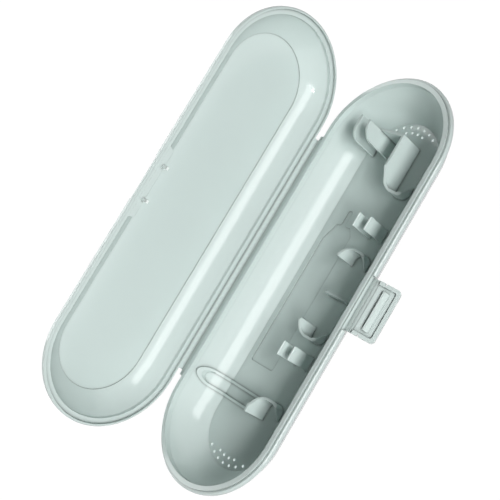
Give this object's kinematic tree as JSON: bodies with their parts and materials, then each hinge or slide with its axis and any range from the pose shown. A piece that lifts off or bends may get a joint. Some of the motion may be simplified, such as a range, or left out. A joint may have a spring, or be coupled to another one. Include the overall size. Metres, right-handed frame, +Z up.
{
  "type": "electric toothbrush travel case",
  "caption": "Long round-ended travel case, shown open: a base tray with cups, clips and a neck clamp moulded in, a lid on a living hinge and a snap latch flap.",
  "frame": {"origin": "middle of the base's flat bottom", "axes": "+Z up; +X along the case towards the neck clamp; -Y towards the latch"},
  "size_m": [0.214, 0.103, 0.0919],
  "materials": {
    "polypropylene": "smooth gloss"
  },
  "bodies": {
    "root": {"base_shell": "polypropylene", "head_cup_left": "polypropylene", "head_cup_right": "polypropylene", "head_rest_left": "polypropylene", "head_rest_right": "polypropylene", "head_clip_left": "polypropylene", "head_clip_right": "polypropylene", "head_divider": "polypropylene", "handle_clamp_back": "polypropylene", "handle_clamp_front": "polypropylene", "handle_stop_wall": "polypropylene", "handle_ribs": "polypropylene", "lid_hinge_web": "polypropylene", "latch_hinge_web": "polypropylene"},
    "lid": {"lid_shell": "polypropylene", "lid_catch_ledge": "polypropylene", "lid_catch_nubs": "polypropylene"},
    "latch": {"latch_flap": "polypropylene", "latch_hook_bar": "polypropylene"}
  },
  "joints": [
    {"name": "lid_hinge", "type": "hinge", "parent": "root", "child": "lid", "pos_m": [0, 0.0376, 0.01835], "axis": [-1, 0, 0], "range_deg": [-92.5, 87.5], "deforming": ["lid_hinge_web"]},
    {"name": "latch_hinge", "type": "hinge", "parent": "root", "child": "latch", "pos_m": [0, -0.03775, 0.0157], "axis": [1, 0, 0], "range_deg": [-118, 27], "deforming": ["latch_hinge_web"]}
  ]
}
